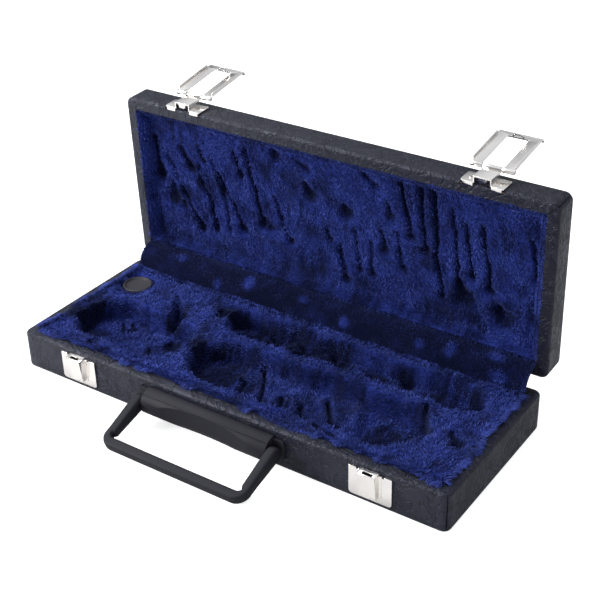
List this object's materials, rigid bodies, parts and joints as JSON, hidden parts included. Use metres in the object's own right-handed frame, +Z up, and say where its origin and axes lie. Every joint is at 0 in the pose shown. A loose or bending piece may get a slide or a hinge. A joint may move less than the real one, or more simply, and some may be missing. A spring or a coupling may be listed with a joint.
{
  "type": "recorder case",
  "caption": "Shallow hinged hard case for a recorder in separate joints, with shaped plush lining, snap latches, bail handle and a small grease pot.",
  "frame": {"origin": "middle of the underside of the base", "axes": "+X along the case, +Y from the handle side to the hinge side, +Z up; the lid stands open"},
  "size_m": [0.31, 0.2107, 0.162],
  "materials": {
    "leatherette": "black grained leatherette, satin",
    "plywood": "unfinished thin plywood",
    "plush": "deep blue crushed plush",
    "nickel": "bright nickel plate on stamped steel",
    "steel": "plain steel",
    "black_plastic": "moulded black plastic, satin"
  },
  "bodies": {
    "base": {"base_frame": "plywood", "base_panel": "plywood", "base_covering": "leatherette", "base_liner": "plush", "grease_pot_nest": "plush", "hinge_flap": "plush", "handle_block": "black_plastic", "handle_pin_left": "steel", "handle_pin_right": "steel", "handle_screw_left": "steel", "handle_screw_right": "steel", "hinge_left_base_leaf": "nickel", "hinge_left_pin": "steel", "hinge_left_base_rivet_outer": "steel", "hinge_left_base_rivet_inner": "steel", "latch_left_keeper": "nickel", "hinge_right_base_leaf": "nickel", "hinge_right_pin": "steel", "hinge_right_base_rivet_outer": "steel", "hinge_right_base_rivet_inner": "steel", "latch_right_keeper": "nickel"},
    "lid": {"lid_frame": "plywood", "lid_panel": "plywood", "lid_covering": "leatherette", "lid_liner": "plush", "hinge_left_lid_leaf": "nickel", "hinge_left_lid_rivet_outer": "steel", "hinge_left_lid_rivet_inner": "steel", "latch_left_bracket": "nickel", "latch_left_pin": "steel", "hinge_right_lid_leaf": "nickel", "hinge_right_lid_rivet_outer": "steel", "hinge_right_lid_rivet_inner": "steel", "latch_right_bracket": "nickel", "latch_right_pin": "steel"},
    "latch_left_lever": {"latch_left_lever": "nickel"},
    "latch_right_lever": {"latch_right_lever": "nickel"},
    "handle_bail": {"handle_bail": "black_plastic"},
    "grease_pot_cap": {"grease_pot_cap": "black_plastic"},
    "grease_pot": {"grease_pot": "black_plastic"}
  },
  "joints": [
    {"name": "lid_hinge", "type": "hinge", "parent": "base", "child": "lid", "pos_m": [0, 0.0627, 0.02595], "axis": [1, 0, 0], "range_deg": [0, 88], "deforming": ["hinge_flap"]},
    {"name": "latch_left_hinge", "type": "hinge", "parent": "lid", "child": "latch_left_lever", "pos_m": [-0.1072, 0.07202, 0.15295], "axis": [1, 0, 0], "range_deg": [0, 173]},
    {"name": "latch_right_hinge", "type": "hinge", "parent": "lid", "child": "latch_right_lever", "pos_m": [0.1072, 0.07202, 0.15295], "axis": [1, 0, 0], "range_deg": [0, 173]},
    {"name": "handle_bail_hinge", "type": "hinge", "parent": "base", "child": "handle_bail", "pos_m": [-0.0029, -0.0657, 0.0136], "axis": [-1, 0, 0], "range_deg": [-72.2, 107.8]},
    {"name": "grease_pot_lift", "type": "slide", "parent": "base", "child": "grease_pot_cap", "axis": [0, 0, 1], "range_m": [0, 0.012]},
    {"name": "grease_pot_turn", "type": "hinge", "parent": "grease_pot_cap", "child": "grease_pot", "pos_m": [-0.1342, 0.0305, 0.02], "axis": [0, 0, 1], "range_deg": [0, 360]}
  ]
}
